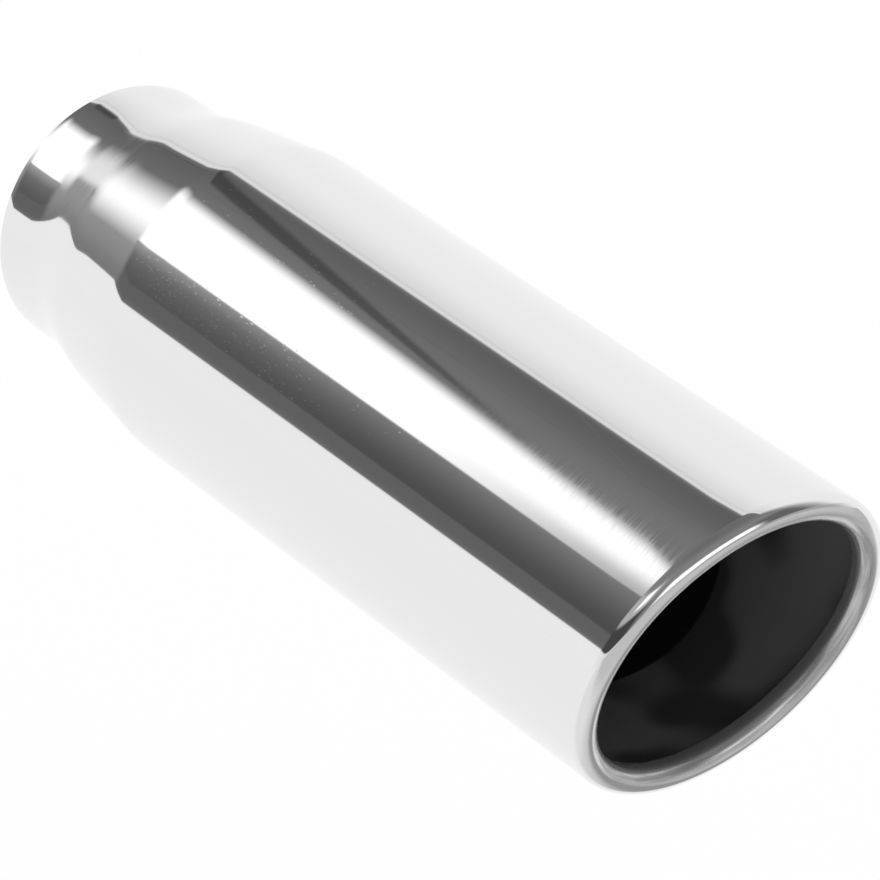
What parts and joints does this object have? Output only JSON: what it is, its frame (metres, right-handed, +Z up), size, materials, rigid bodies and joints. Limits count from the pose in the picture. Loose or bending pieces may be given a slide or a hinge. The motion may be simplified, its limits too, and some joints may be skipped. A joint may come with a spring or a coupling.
{
  "type": "exhaust tip",
  "caption": "Polished steel exhaust tip: straight round body necked down to a slip-on inlet, with a slash-cut mouth and a rolled-in edge.",
  "frame": {"origin": "centre of the inlet bore, at the rim of the inlet neck", "axes": "+Y along the bore, out of the inlet towards the tailpipe; -Y is out of the mouth; +Z up, towards the mouth's long side; +X to the right of someone who faces the mouth"},
  "size_m": [0.127, 0.383, 0.127],
  "materials": {
    "polished_steel": "mirror polished stainless steel outside and on the rolled edge, with faint turning lines; smooth gloss black inside"
  },
  "bodies": {
    "root": {"tip_shell": "polished_steel"}
  },
  "joints": []
}
